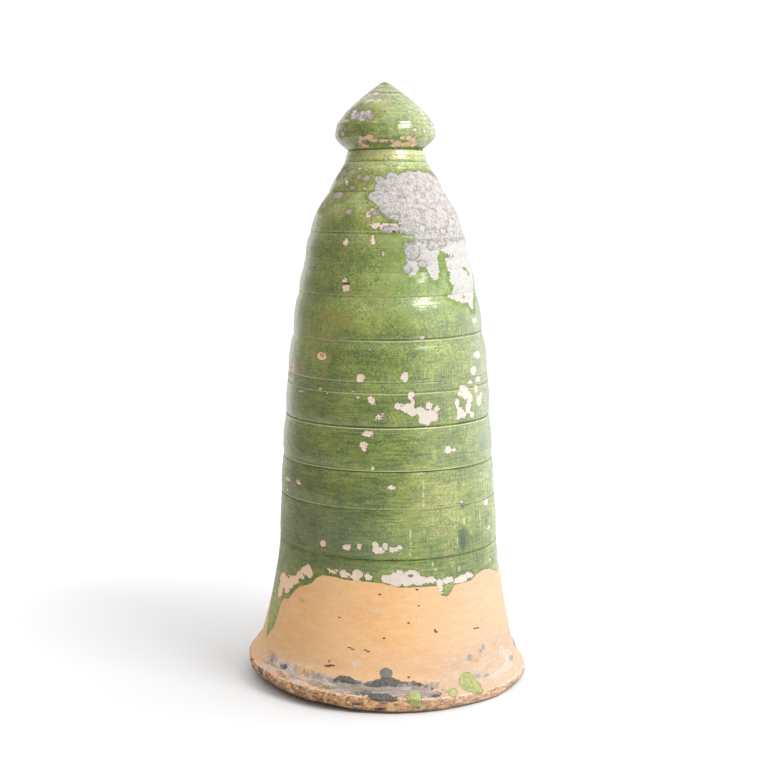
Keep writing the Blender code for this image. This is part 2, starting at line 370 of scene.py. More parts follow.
# Bare reddish clay: where a chip went right through the slip, and the flaked seam under the knob.
RED_CLAY = (
    (-40.5, 420.5, 2.1, 3), (-35, 676, 3, 3), (-31, 680, 3, 3), (-26, 680, 4, 2.6), (-20, 682, 4.4, 3.4),
    (-15, 677.5, 5, 2.2), (-5, 677.2, 7, 1.7), (4, 676.6, 6, 1.7), (13, 675.2, 4.4, 2.2), (17, 673.8, 3, 2),
    (19, 680.4, 4.4, 2.2), (27, 680, 5, 2.6), (34, 677.5, 4, 3.4), (40, 675, 4, 2), (-33, 671.8, 7, 2.5),
    (12, 671.4, 8, 2.5), (28, 672.2, 12, 2.9), (42, 671.6, 9, 2.5), (-58, 686, 3.4, 2.4), (58, 680, 5, 2.4),
    (100, 678, 16, 2.4), (150, 676, 12, 2), (-150, 677, 14, 2.2), (-100, 674, 10, 2),
)
KNOB_WHITE = (
    (35, 714, 3.4, 2), (-14, 728, 6, 1.2), (35, 691, 3, 1.8), (50, 689, 3, 1.6), (59, 691, 2.6, 1.6),
)

# Green glaze that dripped on the bare foot, and the dark crust of lichen that has grown there.
DROPS = (
    (35.5, 27, 4.4, 10.5), (38.5, 19, 3, 6.5), (40, 14.5, 1.5, 3), (10.5, 19, 3, 7.5), (11.5, 12, 1.8, 5),
    (27, 19.5, 2.4, 4.2), (-23, 27, 3.2, 1.3),
)
CRUST = (
    (-0.5, 45.5, 2.7, 7), (0, 36.5, 5.5, 4.6), (-5, 34, 4.6, 3), (5, 34, 4.6, 3), (8, 33, 3, 2.4),
    (13, 32.5, 1.6, 2), (-18, 37.5, 3.8, 3.6), (-22, 35, 4, 2.4), (-14, 35.5, 4, 2.2), (16, 29.5, 1.1, 1.5),
    (-2.5, 21, 5, 4), (1.5, 19, 3, 3), (-8.5, 25, 2.4, 2.6), (-12.4, 24, 2, 1.4), (19.5, 19, 1.7, 1.8),
    (22, 20.5, 0.9, 1.2), (39.5, 53, 1.7, 4), (49, 60, 1.6, 3), (46.5, 56.5, 1.3, 3), (41.5, 30.5, 2, 2.4),
    (46.5, 28, 2, 2), (-49, 37, 2.4, 3), (-62, 20, 3, 3), (60, 9, 1.4, 2.4), (92, 33, 8, 4), (99, 39, 4, 6),
    (121, 24, 6, 4), (150, 35, 9, 4), (158, 42, 3, 5), (-166, 30, 9, 4), (-141, 36, 5, 5), (-118, 28, 7, 4),
    (-98, 38, 3, 5), (71, 30, 3, 3), (10.8, 35.5, 1.4, 1.3), (18.6, 26.5, 0.9, 1.2),
)
SCRATCHES = (
    (-26.5, 49, 1.6, 1.1), (-24.6, 50.6, 1.5, 1.1), (-26, 54.6, 0.4, 1.4), (-17.2, 73.2, 0.9, 0.7),
    (-15.6, 71.8, 0.8, 0.7), (-9.8, 71.6, 0.9, 0.7), (-8.4, 70, 0.8, 0.8), (22.4, 91.5, 0.5, 2.4),
    (23.2, 89.5, 0.4, 1.2), (45.6, 84.2, 1.4, 0.7), (47.4, 83.4, 0.8, 0.7), (-3.6, 137.2, 0.8, 1),
    (14.5, 142, 0.7, 1.1), (9.8, 103.2, 0.6, 1), (-1.5, 86, 0.6, 0.9), (15, 122.5, 0.6, 0.7),
    (-23, 107, 0.7, 0.7), (9, 40.5, 0.7, 0.9), (4.6, 569.4, 1.4, 1.4), (-27, 507.6, 2.8, 1.6),
    (-4, 713, 1, 0.9), (-60, 139.5, 1, 1.4), (-3, 6.5, 2.4, 1.3), (-11.5, 12, 2, 1.1), (130, 80, 1.2, 1),
    (-140, 96, 0.6, 2), (165, 62, 1.6, 1), (-110, 74, 0.9, 0.8),
)
PALE_SCUFFS = (
    (-13.5, 54.5, 2.2, 5), (7.5, 109, 1, 3.4), (15, 106, 0.7, 5), (-4, 118, 2.4, 2), (0, 145, 2, 2),
    (64, 44, 3, 7), (69, 34, 5, 7), (64, 26, 5, 5), (54, 25, 5, 3),
)
RUST_SPOTS = ((42.5, 47, 3.4, 2.4), (45.6, 50, 1.3, 3), (-46, 118, 2, 3), (58, 55, 1, 2.4), (160, 58, 3, 3))

WIDE_GREEN_RUN = (
    (41.4, 203, 4, 9), (41.4, 193, 2.8, 9), (41.2, 186, 1.7, 7), (41.8, 240, 2, 6), (39.5, 263, 1.5, 6),
    (62, 210, 1.6, 7),
)
YELLOW_AREAS = (
    (22, 246, 15, 30), (30, 226, 12, 26), (15, 268, 9, 14), (35, 255, 7, 22), (-2, 476, 6, 9),
    (2, 470, 7, 6), (0, 548, 9, 17), (3, 519, 8, 12), (-1, 498, 6, 16), (-3, 459, 3, 4), (-45, 430, 12, 30),
    (-38, 470, 11, 24), (-27, 455, 7, 16), (-12, 625, 8, 9), (-48, 565, 9, 8), (-22, 620, 6, 6),
    (33, 190, 5, 14), (47, 214, 3, 12), (36.5, 214, 2.4, 10), (6, 350, 4, 5), (-10, 715, 22, 12),
    (160, 300, 30, 60), (-130, 420, 30, 70), (140, 480, 20, 40),
)

# Where the glaze lies thinner and paler than around it, with how much. The areas below 0, on the left low
# down, make it darker there: painted shade.
THIN_AND_SHADED_AREAS = (
    (0, 661, 400, 7, 0.48), (0, 648, 400, 6, 0.24), (-8, 628, 36, 24, 0.16), (-25, 230, 34, 60, -0.10),
    (-8, 602, 22, 26, 0.12), (5, 490, 34, 40, 0.13), (35, 470, 28, 60, 0.08), (20, 240, 22, 50, 0.12),
    (-45, 240, 40, 70, -0.14), (-60, 360, 30, 60, -0.05), (-50, 175, 50, 36, -0.10),
    (55, 702, 40, 30, 0.14), (-60, 715, 40, 30, 0.05), (-60, 600, 30, 40, 0.06), (70, 230, 26, 70, 0.06),
    (-76, 90, 16, 46, 0.28),
)

# Where frost has roughened the glaze of the knob and its fired skin comes off in grains.
WEATHERED_AREAS = (
    (-78, 706, 34, 22, 1), (-60, 733, 60, 14, 0.9), (82, 704, 34, 24, 0.6), (0, 749, 400, 5, 0.9),
    (-80, 640, 30, 30, 0.6), (-82, 600, 22, 30, 0.5), (-85, 560, 20, 24, 0.4), (180, 716, 60, 22, 0.8),
)
PALE_SCRATCHES = (
    (11.4, 209, 0.45, 7), (11.6, 196, 0.4, 5), (11.2, 186, 0.35, 3), (18.6, 268, 0.4, 5),
    (18.2, 257, 0.4, 3), (18.4, 245, 0.5, 4), (23.2, 183, 0.35, 5), (23, 172, 0.4, 4), (24.5, 163, 0.5, 4),
    (37.5, 193, 0.4, 6), (38.4, 160, 0.5, 4), (42.2, 218, 0.4, 5), (41.4, 242.5, 1.6, 1.6),
    (55, 215, 0.3, 12), (58, 262, 0.3, 10),
)
SMALL_CHIPS = (
    (-35, 376, 0.8, 1.2), (-5.6, 448, 0.8, 1.2), (-2.5, 384, 0.7, 1), (50, 293, 1, 1.5),
    (53, 251, 0.9, 1.6),
)
OUTSIDE_REACH = 9.0
BACK_CHIPS = 34


def depth_in(marks):
    """How many millimetres each point lies inside the nearest mark, below 0 outside every mark."""
    best = np.full(heights.shape, -OUTSIDE_REACH)
    for turn, height, half_width, half_height in marks:
        spread = np.hypot(wrapped(faced - turn) / half_width, (heights - height) / half_height)
        size = np.minimum(half_width * arc, half_height)
        best = np.maximum(best, (1.0 - spread) * size)
    return best


def soft_areas(areas):
    """Adds up soft-edged areas, each with its own strength in the middle."""
    result = 0.0 * heights
    for turn, height, half_width, half_height, strength in areas:
        spread = np.hypot(wrapped(faced - turn) / half_width, (heights - height) / half_height)
        result = result + strength * smooth_step(1.35, 0.4, spread)
    return result


def depth_in_outline(outline):
    """How many millimetres each point lies inside a closed outline of (turn, height) corners."""
    inside = np.zeros(heights.shape, dtype=bool)
    nearest = np.full(heights.shape, OUTSIDE_REACH)
    for (turn_a, height_a), (turn_b, height_b) in zip(outline, outline[1:] + outline[:1]):
        along_x, along_z = (turn_b - turn_a) * arc, height_b - height_a
        from_x, from_z = (faced - turn_a) * arc, heights - height_a
        share = np.clip((from_x * along_x + from_z * along_z) / (along_x ** 2 + along_z ** 2), 0.0, 1.0)
        nearest = np.minimum(nearest, np.hypot(from_x - share * along_x, from_z - share * along_z))
        if height_a != height_b:
            crossing = turn_a + (heights - height_a) / (height_b - height_a) * (turn_b - turn_a)
            inside ^= ((heights > height_a) != (heights > height_b)) & (faced < crossing)
    return np.where(inside, nearest, -nearest)


def chips_behind():
    """Seeded chips for the side that the camera does not see, in the sizes of those in front."""
    chance = np.random.default_rng(31)
    marks = []
    for chip in range(BACK_CHIPS):
        turn, height = chance.uniform(80, 282), chance.uniform(182, 610)
        for lump in range(chance.integers(1, 5)):
            wide = math.degrees(chance.uniform(2.2, 7) / plain_radius(np.array(height)))
            lump_turn = turn + chance.normal(0.0, 1.6)
            lump_height = height + chance.normal(0.0, 3.2)
            marks.append((lump_turn, lump_height, wide, chance.uniform(2.2, 5.5)))
    return tuple(marks)


LICHEN_BOTTOM = 559.0
edge_turns, edge_heights = zip(*GLAZE_EDGE)
marks = {}
below_edge = np.interp(faced, edge_turns, edge_heights) - heights
marks["bare_clay"] = np.clip(below_edge, -OUTSIDE_REACH, OUTSIDE_REACH)
islands = depth_in(GREEN_ISLANDS)
chipped = depth_in(CHIPS_HIGH + CHIPS_MIDDLE + CHIPS_LOW + SLIP_EDGE + KNOB_WHITE + chips_behind())
marks["chipped"] = np.minimum(chipped, -islands)
lichen_spots = depth_in(LICHEN_SPOTS)
patch = depth_in_outline(PATCH_OUTLINE)
marks["patch"] = np.minimum(np.maximum(patch, lichen_spots), -islands)
upper_patch = np.minimum(patch + 1.0, (heights - LICHEN_BOTTOM) / 2.5)
marks["lichen"] = np.minimum(np.maximum(upper_patch, lichen_spots), -depth_in(WHITE_SPOTS))
marks["red_clay"] = depth_in(RED_CLAY)
marks["drop"] = depth_in(DROPS)
marks["crust"] = depth_in(CRUST)
marks["scuff"] = depth_in(PALE_SCUFFS)
marks["green_run"] = smooth_step(-1.5, 3.5, depth_in(WIDE_GREEN_RUN))
marks["yellow"] = smooth_step(-9, 9, depth_in(YELLOW_AREAS))
rim = smooth_step(1.6, -1.0, heights - crease_height)
marks["rim"] = rim
film_height = 8.5 + 1.5 * smooth_step(-36, -52, turns)
film_depth = film_height - np.abs(heights - crease_height - film_height + 1.0)
film_depth = np.minimum(film_depth, 0.7 * (44 - np.abs(turns + 22)))
marks["film"] = np.clip(film_depth, -OUTSIDE_REACH, OUTSIDE_REACH)
marks["over_crease"] = np.clip(heights - crease_height, -OUTSIDE_REACH, OUTSIDE_REACH)
# Painted contact shadow: the foot of the rim is darkened toward the floor.
marks["painted_contact_shadow"] = smooth_step(4.5, 0.5, rows) + 0.0 * heights
# Also painted shade, where the areas are below 0.
marks["thin_glaze_and_shade"] = soft_areas(THIN_AND_SHADED_AREAS)
marks["weathered"] = np.clip(soft_areas(WEATHERED_AREAS), 0.0, 1.0)
marks["from_line"] = np.full(heights.shape, OUTSIDE_REACH)
marks["from_lip"] = np.full(heights.shape, OUTSIDE_REACH)
marks["line_strength"] = np.zeros(heights.shape)


def score_line(height, lip, strength):
    """Notes how far each point lies from a scored line, where that line is the nearest one so far."""
    nearer = np.abs(rows - height) < np.abs(marks["from_line"])
    marks["from_line"] = np.where(nearer, rows - height, marks["from_line"])
    marks["from_lip"] = np.where(nearer, rows - height - lip, marks["from_lip"])
    marks["line_strength"] = np.where(nearer, strength, marks["line_strength"])


relief = 0.5 * ripple(turns, rows, 210, 3) + 0.12 * ripple(turns, rows, 46, 4)
relief = relief * smooth_step(0.0, 60, rows) + 0.07 * ripple(turns, rows, 11, 5)
WIPED_GROOVE = 443.0
for height, depth, lip in GROOVES:
    strength = 0.75 + 0.3 * ripple(turns, height, 260, int(height), waves=6)
    if abs(height - WIPED_GROOVE) < 1.0:
        strength = strength * (0.3 + 0.7 * smooth_step(-50, 5, folded(turns)))
    strength = np.clip(strength, 0.15, 1.3)
    cut = np.exp(-((rows - height) / GROOVE_WIDTH) ** 2) * strength
    raised = np.exp(-((rows - height - lip) / GROOVE_WIDTH) ** 2) * strength
    relief = relief - GROOVE_DEPTH_SHARE * depth * cut + LIP_SHARE * depth * raised
    score_line(height, lip, strength * min(1.0, depth))
for height, depth in FINGER_LINES:
    strength = np.clip(0.6 + 0.8 * ripple(turns, height, 180, int(height) + 7, waves=6), 0.3, 1.2)
    line = strength * np.exp(-((rows - height) / 1.3) ** 2)
    swelled = 0.25 * depth * strength * np.exp(-((rows - height - 2.6) / 1.6) ** 2)
    relief = relief - 0.3 * depth * line + swelled
    score_line(height, 1.4, depth * strength)
for height, depth in ROLLED_EDGES:
    relief = relief - depth * np.exp(-((rows - height) / 4) ** 2)

# How thick the skins lie and how deep they have gone, in millimetres.
FLAKE_DEPTH = 0.45
LICHEN_THICKNESS = 0.35
GLAZE_THICKNESS = 0.35
SEAM_DEPTH = 0.8
DROP_THICKNESS = 1.1
CRUST_THICKNESS = 0.5
RUN_THICKNESS = 0.5
RIM_WEAR = 0.9
bared = np.maximum(marks["chipped"], marks["patch"])
relief -= FLAKE_DEPTH * smooth_step(-0.6, 1.4, bared) * smooth_step(2, -2, marks["bare_clay"])
lumps = 0.6 + 0.4 * ripple(turns, rows, 7, 8)
relief += LICHEN_THICKNESS * smooth_step(-0.5, 2.5, marks["lichen"]) * lumps
relief -= GLAZE_THICKNESS * smooth_step(-1.2, 1.2, marks["bare_clay"]) * smooth_step(20, 60, rows)
relief -= SEAM_DEPTH * smooth_step(-0.4, 1.2, marks["red_clay"])
dripped = DROP_THICKNESS * smooth_step(-0.5, 5.5, marks["drop"])
relief += dripped + CRUST_THICKNESS * smooth_step(-0.5, 2.5, marks["crust"])
relief += RUN_THICKNESS * smooth_step(0.3, 1.0, marks["green_run"])
worn = 0.45 * ripple(turns, rows * 1.6, 30, 11) + 0.3 * ripple(turns, rows * 1.4, 9, 12)
relief += rim * (worn - RIM_WEAR)

slope_height = np.gradient(rows[:, 0])[:, None]
slope_radius = np.gradient(plain_radius(rows[:, 0]))[:, None]
slant = np.hypot(slope_height, slope_radius)
out_radius = plain_radius(rows) + relief * slope_height / slant
out_height = np.maximum(heights - relief * slope_radius / slant, 0.0)

ring_share = np.linspace(1.0, 0.0, UNDER_ROWS + 1)[1:, None]
mouth = FOOT_RADIUS - EDGE_BULGE - STANDING_RING
under_radius = between(mouth, out_radius[0], ring_share)
under_height = np.maximum(low_lip, 0.4) * smooth_step(0.45, 1.0, ring_share) + 0.0 * turns

in_heights, in_radii = inside_outline()
in_rows = in_heights[1:, None]
finger_rings = 0.55 * np.sin(math.tau * in_rows / 15 + np.radians(turns))
finger_rings = finger_rings + 0.5 * ripple(turns, in_rows, 60, 21)
finger_rings = finger_rings * smooth_step(40, 80, in_rows) * smooth_step(719, 690, in_rows)
in_radius = in_radii[1:, None] + finger_rings
in_height = in_rows + 0.0 * turns

radius = np.concatenate((out_radius[::-1], under_radius, in_radius))
height = np.concatenate((out_height[::-1], under_height, in_height))
across = np.concatenate((lean[::-1], np.zeros((UNDER_ROWS, 1)), 0.0 * in_rows))
ring_count = radius.shape[0]


def ring_corners():
    """Corner positions in metres: the tip, then every ring from the tip round to the knob's hollow."""
    angle = np.radians(turns)
    sideways = across + radius * np.sin(angle)
    grid = np.stack((sideways, -radius * np.cos(angle), height + 0.0 * angle), axis=-1)
    tip = (float(lean[-1, 0]), 0.0, HEIGHT)
    hollow_top = (0.0, 0.0, HEIGHT - CROWN_WALL)
    return np.concatenate((np.array([tip]), grid.reshape(-1, 3), np.array([hollow_top]))) * MM


def ring_faces():
    """Squares between neighbouring rings, and a fan of triangles on each pole."""
    column = np.arange(COLUMNS)
    beside = (column + 1) % COLUMNS
    upper = 1 + np.arange(ring_count - 1)[:, None] * COLUMNS
    lower = upper + COLUMNS
    squares = np.stack((upper + column, lower + column, lower + beside, upper + beside), axis=-1)
    last = 1 + (ring_count - 1) * COLUMNS
    tip_fan = [(0, 1 + a, 1 + b) for a, b in zip(column, beside)]
    hollow_fan = [(last + a, last + COLUMNS, last + b) for a, b in zip(column, beside)]
    return squares.reshape(-1, 4).tolist() + tip_fan + hollow_fan


finial_mesh = bpy.data.meshes.new("thrown_finial")
corners = ring_corners()
finial_mesh.from_pydata(corners.tolist(), [], ring_faces())
finial_mesh.update()
finial_mesh.shade_smooth()
for name, values in marks.items():
    inside_value = 0.0 if values.min() >= 0.0 else -OUTSIDE_REACH
    if name == "bare_clay":
        inside_value = OUTSIDE_REACH
    hidden = np.full((UNDER_ROWS + in_rows.shape[0], COLUMNS), inside_value)
    outside = np.broadcast_to(values, heights.shape)[::-1]
    if name == "rim":
        hidden[:UNDER_ROWS] = 1.0
    column_values = np.concatenate(([outside[0, 0]], outside.ravel(), hidden.ravel(), [inside_value]))
    layer = finial_mesh.attributes.new(name, "FLOAT", "POINT")
    layer.data.foreach_set("value", column_values.astype(np.float32))


def unroll():
    """Texture places for baking: round the body across, and along the rings upwards. The corners come
    in the order in which ring_faces names them."""
    steps = np.hypot(np.diff(radius[:, 0]), np.diff(height[:, 0]))
    length = np.concatenate(([0.0], np.cumsum(steps))) + 1.0
    outside_end = length[OUTSIDE_ROWS - 1]
    rest = (length - outside_end) / (length[-1] + 1.0 - outside_end)
    up = np.where(length < outside_end, length / outside_end * 0.80, 0.80 + 0.20 * rest)
    left = ((turns[0] + 180) / 360 + np.arange(COLUMNS) / COLUMNS) / 2
    right = np.append(left[1:], 1.0)
    one = np.ones(COLUMNS)
    places = []
    for high, low in zip(up[:-1], up[1:]):
        high, low = high * one, low * one
        places.append(np.stack((left, high, left, low, right, low, right, high), axis=-1))
    places.append(np.stack((left, 0.0 * one, left, up[0] * one, right, up[0] * one), axis=-1))
    places.append(np.stack((left, up[-1] * one, left, one, right, up[-1] * one), axis=-1))
    layer = finial_mesh.uv_layers.new(name="OFBake")
    layer.data.foreach_set("uv", np.concatenate([place.ravel() for place in places]))


unroll()
finial = bpy.data.objects.new("roof_finial_body", finial_mesh)
bpy.context.scene.collection.objects.link(finial)


# Finial, its finish. Four skins lie over each other: buff clay, pale slip, green lead glaze and, where
# the weather gets at them, grey lichen. Each mark's edge is broken up by grain, as a chip's edge is.

finish = bpy.data.materials.new("weathered_green_glaze")
finish.use_nodes = True
tree = finish.node_tree
shader = tree.nodes["Principled BSDF"]


def plug(socket, value):
    """Gives a socket its value, or joins it to the socket that makes the value."""
    if isinstance(value, bpy.types.NodeSocket):
        tree.links.new(value, socket)
    else:
        socket.default_value = value


def calc(operation, first, second=0, third=0):
    step = tree.nodes.new("ShaderNodeMath")
    step.operation = operation
    for socket, value in zip(step.inputs, (first, second, third)):
        plug(socket, value)
    return step.outputs[0]


def mark(name):
    reader = tree.nodes.new("ShaderNodeAttribute")
    reader.attribute_name = name
    return reader.outputs["Fac"]


surface_place = tree.nodes.new("ShaderNodeTexCoord").outputs["Object"]
place_parts = tree.nodes.new("ShaderNodeSeparateXYZ")
plug(place_parts.inputs[0], surface_place)
height_here = calc("DIVIDE", place_parts.outputs["Z"], MM)
forward = calc("MULTIPLY", place_parts.outputs["Y"], -1)
turn_here = calc("DEGREES", calc("ARCTAN2", place_parts.outputs["X"], forward))
side_turn = calc("DEGREES", calc("ARCSINE", calc("SINE", calc("RADIANS", turn_here))))
polar = tree.nodes.new("ShaderNodeCombineXYZ")
plug(polar.inputs["X"], turn_here)
plug(polar.inputs["Y"], height_here)


def grain(size, detail=2, roughness=0.5, along=1, upward=1, shift=0, where=surface_place):
    """Noise about 0, mostly within -1 and 1, in lumps of the given size in millimetres. Below 1, along
    draws the lumps out round the body, and upward draws them out from foot to knob."""
    place = tree.nodes.new("ShaderNodeVectorMath")
    place.operation = "MULTIPLY_ADD"
    plug(place.inputs[0], where)
    scale = 1 / (size * MM)
    place.inputs[1].default_value = (along * scale, along * scale, upward * scale)
    place.inputs[2].default_value = (7.3 * shift, -4.1 * shift, 2.7 * shift)
    noise = tree.nodes.new("ShaderNodeTexNoise")
    plug(noise.inputs["Vector"], place.outputs[0])
    noise.inputs["Scale"].default_value = 1
    noise.inputs["Detail"].default_value = detail
    noise.inputs["Roughness"].default_value = roughness
    return calc("MULTIPLY_ADD", noise.outputs["Fac"], 4, -2)


def ramp(value, low, high, low_out=0, high_out=1):
    step = tree.nodes.new("ShaderNodeMapRange")
    step.interpolation_type = "SMOOTHSTEP"
    settings = {"Value": value, "From Min": low, "From Max": high, "To Min": low_out, "To Max": high_out}
    for name, number in settings.items():
        plug(step.inputs[name], number)
    return step.outputs[0]


def flecks(low, high, *size_and_kind, **kind):
    """1 where the grain is higher than high, 0 where it is lower than low."""
    return ramp(grain(*size_and_kind, **kind), low, high)


def blend(share, under, over):
    step = tree.nodes.new("ShaderNodeMix")
    step.data_type = "RGBA"
    plug(step.inputs["Factor"], share)
    for socket, value in ((step.inputs[6], under), (step.inputs[7], over)):
        plug(socket, value if isinstance(value, bpy.types.NodeSocket) else (*value, 1))
    return step.outputs[2]


def more(value, amount):
    return calc("MULTIPLY", value, amount)


def both(first, second):
    return calc("MULTIPLY", first, second)


def layered(colour, *layers):
    """Lays each (where, how strongly, shade) over the colour, one after the other."""
    for where, strength, shade in layers:
        colour = blend(more(where, strength), colour, shade)
    return colour


def close_to(value, near, far, most=1, least=0):
    """The most within near of 0 on either side, and the least beyond far."""
    return ramp(calc("ABSOLUTE", value), near, far, most, least)


def either(*values):
    result = values[0]
    for value in values[1:]:
        result = calc("MAXIMUM", result, value)
    return result


def total(*values):
    result = values[0]
    for value in values[1:]:
        result = calc("ADD", result, value)
    return result


def without(value):
    return calc("SUBTRACT", 1, value)


def shades(value, stops):
    """Colour read off a strip of shades, each at its own place between 0 and 1."""
    strip = tree.nodes.new("ShaderNodeValToRGB")
    elements = strip.color_ramp.elements
    while len(elements) < len(stops):
        elements.new(0.5)
    for element, (position, shade) in zip(elements, stops):
        element.position = position
        element.color = (*shade, 1)
    plug(strip.inputs["Fac"], value)
    return strip.outputs["Color"]


lumpy = grain(5.5, 2, 0.6)
ragged = grain(1.9, 2, 0.6, shift=3)


def broken_edge(field, lumpy_amount, ragged_amount, softness=0.16, shrink=0):
    """Turns a depth in millimetres into a crisp mask with a ragged edge."""
    rough = calc("MULTIPLY_ADD", lumpy, lumpy_amount, field)
    rough = calc("MULTIPLY_ADD", ragged, ragged_amount, rough)
    return ramp(rough, shrink - softness, shrink + softness)


def fine_marks(spots):
    """The same depth as depth_in gives, worked out here for marks that are finer than the mesh."""
    best = -OUTSIDE_REACH
    for turn, height, half_width, half_height in spots:
        apart = tree.nodes.new("ShaderNodeVectorMath")
        apart.operation = "MULTIPLY_ADD"
        plug(apart.inputs[0], polar.outputs[0])
        apart.inputs[1].default_value = (1 / half_width, 1 / half_height, 0)
        apart.inputs[2].default_value = (-turn / half_width, -height / half_height, 0)
        spread = tree.nodes.new("ShaderNodeVectorMath")
        spread.operation = "LENGTH"
        plug(spread.inputs[0], apart.outputs[0])
        size = min(math.radians(half_width) * float(plain_radius(np.array(height))), half_height)
        best = calc("MAXIMUM", best, calc("MULTIPLY_ADD", spread.outputs["Value"], -size, size))
    return best


# Green lead glaze: deep where it lies thick, yellow and pale where it ran thin. Low down it shows the
# fine lines of the turning, high up it is speckled, and on the knob it is mottled and frosted.
POOLED = (0.02, 0.05, 0.012)
DEEP_GREEN = (0.052, 0.09, 0.012)
LEAF_GREEN = (0.128, 0.182, 0.026)
THIN_GREEN = (0.25, 0.3, 0.062)
PALE_GREEN = (0.42, 0.42, 0.15)
STRAW = (0.43, 0.35, 0.1)
low_down = ramp(height_here, 300, 520, 1, 0.3)
high_up = ramp(height_here, 280, 480, 0.35, 1)
to_the_right = ramp(side_turn, 5, 40, 0.2, 1)
lines_drawn_out = more(grain(2, 3, 0.7, along=0.12, shift=4), 0.18)
streaks = total(lines_drawn_out, more(grain(6, 2, 0.6, along=0.15, shift=5), 0.06))
speckle = more(grain(3, 2, 0.6, shift=8), 0.2)
drips = more(grain(2, 2, 0.6, upward=0.05, shift=7), 0.18)
on_knob = ramp(height_here, 670, 680)
knob_marks = more(grain(3.6, 4, 0.75, along=0.35, shift=46), 0.24)
# Painted shade: the strip is read darker on the lower left.
glaze_thinness_and_shade = total(
    0.5,
    both(on_knob, knob_marks),
    more(grain(75, 2, 0.5, shift=1), 0.11),
    more(grain(17, 3, 0.6, along=0.6, shift=2), 0.16),
    both(low_down, streaks),
    both(high_up, speckle),
    both(to_the_right, drips),
    more(grain(1.4, 2, 0.7, shift=6), 0.22),
    mark("thin_glaze_and_shade"),
)
glaze = shades(
    glaze_thinness_and_shade,
    ((0.02, POOLED), (0.28, DEEP_GREEN), (0.5, LEAF_GREEN), (0.74, THIN_GREEN), (1, PALE_GREEN)),
)
to_the_left = ramp(side_turn, -50, 5, 0.6, 0)
yellow = both(either(mark("yellow"), to_the_left), flecks(-0.7, 0.4, 15, 4, 0.65, shift=9))
yellow_tone = blend(ramp(side_turn, -25, 10), (0.215, 0.178, 0.032), (0.245, 0.262, 0.052))
bluer = flecks(0, 0.7, 12, 4, 0.65, upward=0.6, shift=36)
rusty = flecks(-0.1, 0.8, 3, 3, 0.7, shift=31)
rusty = both(rusty, ramp(side_turn, -35, 20, 0.5, 0.22))
straw_specks = both(ramp(mark("yellow"), 0, 0.8, 0.12, 1), flecks(0.3, 0.7, 2.4, 2, 0.6, shift=10))
frosting = both(both(mark("yellow"), to_the_right), flecks(0.1, 0.8, 1.8, 3, upward=0.5, shift=37))
hairline = both(low_down, flecks(0.1, 0.5, 1.7, 2, 0.6, along=0.07, shift=42))
dark_specks = both(flecks(0.35, 0.65, 2, 1, shift=11), flecks(-0.6, 0.3, 32, 1, shift=12))
run_streaks = ramp(grain(2.2, 3, 0.6, upward=0.12, shift=50), -0.7, 0.1, 0.55, 1)
line_depth = both(mark("line_strength"), close_to(mark("from_line"), 0.2, 0.9))
# The pale line on each groove's lip is partly thin glaze and partly a painted highlight.
pale_lip_and_highlight = both(mark("line_strength"), close_to(mark("from_lip"), 0.1, 0.8))
from_lush_band = calc("SUBTRACT", height_here, 515)
lush = both(ramp(side_turn, -25, 15), close_to(from_lush_band, 30, 75))
pale_wisps = both(ramp(height_here, 695, 735), flecks(0.25, 0.6, 7, 4, 0.75, along=0.3, shift=47))
beside_groove = close_to(mark("from_line"), 1, 6)
beside_groove = both(beside_groove, ramp(mark("line_strength"), 0.25, 0.6))
bloom = both(both(beside_groove, high_up), flecks(0.1, 0.7, 2.4, 3, 0.7, along=0.08, shift=51))
frost = both(mark("weathered"), flecks(0, 0.45, 5, 5, 0.8, along=0.4, shift=43))
pale_scratch = both(broken_edge(fine_marks(PALE_SCRATCHES), 0.25, 0.5, 0.15), ramp(lumpy, -0.5, 0))
glaze = layered(
    glaze,
    (yellow, 0.65, yellow_tone),
    (bluer, 0.45, (0.064, 0.135, 0.03)),
    (rusty, 1, (0.25, 0.195, 0.045)),
    (straw_specks, 0.5, STRAW),
    (both(frosting, low_down), 0.65, (0.5, 0.51, 0.26)),
    (hairline, 0.45, (0.04, 0.07, 0.014)),
    (dark_specks, 0.75, POOLED),
    (both(mark("green_run"), run_streaks), 1, (0.028, 0.068, 0.016)),
    (pale_lip_and_highlight, 0.85, (0.44, 0.43, 0.22)),
    (line_depth, 0.72, (0.026, 0.032, 0.011)),
    (lush, 0.32, (0.105, 0.215, 0.048)),
    (pale_wisps, 0.5, (0.52, 0.52, 0.4)),
    (bloom, 0.4, (0.33, 0.4, 0.23)),
    (mark("weathered"), 0.25, (0.23, 0.16, 0.08)),
    (frost, 0.75, (0.6, 0.5, 0.44)),
    (pale_scratch, 0.5, (0.6, 0.6, 0.48)),
)

# Pale slip that shows where the glaze has flaked off, peach at a chip's edge and low on the left, and
# greyer where it has been bare for long.
slip = blend(flecks(-0.6, 0.6, 8, 3, 0.6, shift=13), (0.61, 0.53, 0.455), (0.56, 0.46, 0.37))
chip_edge = both(ramp(mark("chipped"), 0.5, 2.2, 0.7, 0), ramp(side_turn, -25, 8, 1, 0.2))
slip_specks = both(flecks(0.1, 0.7, 2.2, 3, 0.7, shift=14), ramp(height_here, 172, 184, 0.65, 0.45))
patch_slip = blend(flecks(-0.1, 0.7, 5, 4, 0.75, shift=38), (0.4, 0.395, 0.385), (0.29, 0.28, 0.27))
slip = layered(
    slip,
    (ramp(side_turn, -10, 20), 1, (0.52, 0.475, 0.415)),
    (either(chip_edge, ramp(side_turn, -60, -12, 0.9, 0)), 1, (0.74, 0.47, 0.28)),
    (slip_specks, 1, (0.37, 0.3, 0.24)),
    (ramp(mark("patch"), -1, 2, 0, 0.9), 1, patch_slip),
)
